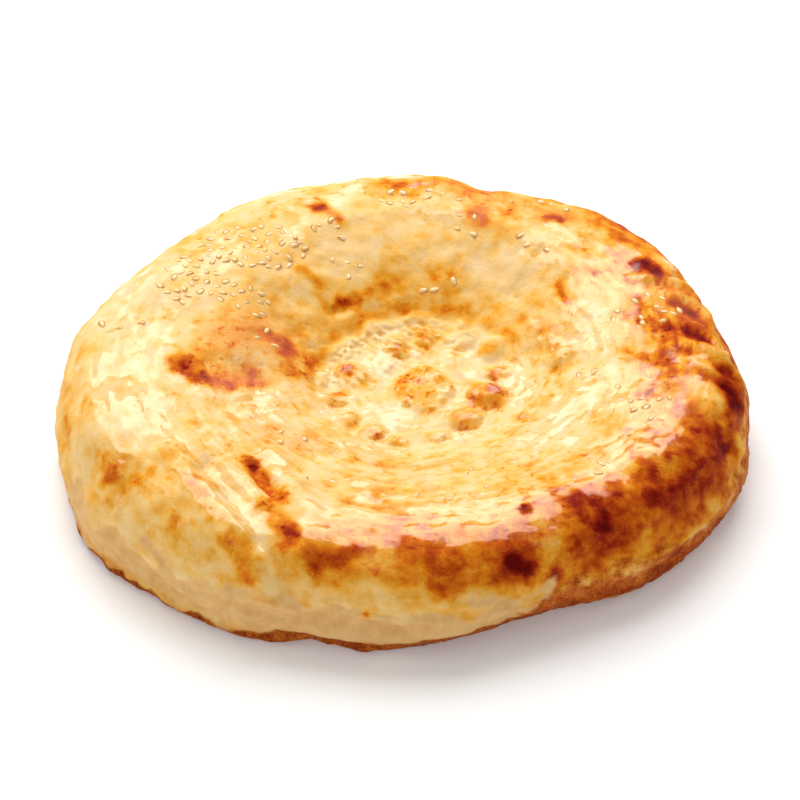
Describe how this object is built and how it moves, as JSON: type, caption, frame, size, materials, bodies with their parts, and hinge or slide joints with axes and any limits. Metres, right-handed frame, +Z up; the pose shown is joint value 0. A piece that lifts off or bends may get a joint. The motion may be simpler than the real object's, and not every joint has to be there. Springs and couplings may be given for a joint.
{
  "type": "flatbread",
  "caption": "Round tandoor-baked flatbread with a puffed rim, a sunken stamped middle, a glazed browned crust and scattered sesame seeds.",
  "frame": {"origin": "middle of the loaf's footprint, on the surface that it lies on", "axes": "+Z up out of the stamped face, +Y towards the back of the loaf, +X to its right, which is its longest width"},
  "size_m": [0.243, 0.226, 0.0451],
  "materials": {
    "crust": "glazed, browned bread crust, semi-gloss",
    "sesame": "hulled sesame seed, satin"
  },
  "bodies": {
    "root": {"flatbread": "crust", "sesame_seed_01": "sesame", "sesame_seed_02": "sesame", "sesame_seed_03": "sesame", "sesame_seed_04": "sesame", "sesame_seed_05": "sesame", "sesame_seed_06": "sesame", "sesame_seed_07": "sesame", "sesame_seed_08": "sesame", "sesame_seed_09": "sesame", "sesame_seed_10": "sesame", "sesame_seed_11": "sesame", "sesame_seed_12": "sesame", "sesame_seed_13": "sesame", "sesame_seed_14": "sesame", "sesame_seed_15": "sesame", "sesame_seed_16": "sesame", "sesame_seed_17": "sesame", "sesame_seed_18": "sesame", "sesame_seed_19": "sesame", "sesame_seed_20": "sesame", "sesame_seed_21": "sesame", "sesame_seed_22": "sesame", "sesame_seed_23": "sesame", "sesame_seed_24": "sesame", "sesame_seed_25": "sesame", "sesame_seed_26": "sesame", "sesame_seed_27": "sesame", "sesame_seed_28": "sesame", "sesame_seed_29": "sesame", "sesame_seed_30": "sesame", "sesame_seed_31": "sesame", "sesame_seed_32": "sesame", "sesame_seed_33": "sesame", "sesame_seed_34": "sesame", "sesame_seed_35": "sesame", "sesame_seed_36": "sesame", "sesame_seed_37": "sesame", "sesame_seed_38": "sesame", "sesame_seed_39": "sesame", "sesame_seed_40": "sesame", "sesame_seed_41": "sesame", "sesame_seed_42": "sesame", "sesame_seed_43": "sesame", "sesame_seed_44": "sesame", "sesame_seed_45": "sesame", "sesame_seed_46": "sesame", "sesame_seed_47": "sesame", "sesame_seed_48": "sesame", "sesame_seed_49": "sesame", "sesame_seed_50": "sesame", "sesame_seed_51": "sesame", "sesame_seed_52": "sesame", "sesame_seed_53": "sesame", "sesame_seed_54": "sesame", "sesame_seed_55": "sesame", "sesame_seed_56": "sesame", "sesame_seed_57": "sesame", "sesame_seed_58": "sesame", "sesame_seed_59": "sesame"}
  },
  "joints": []
}
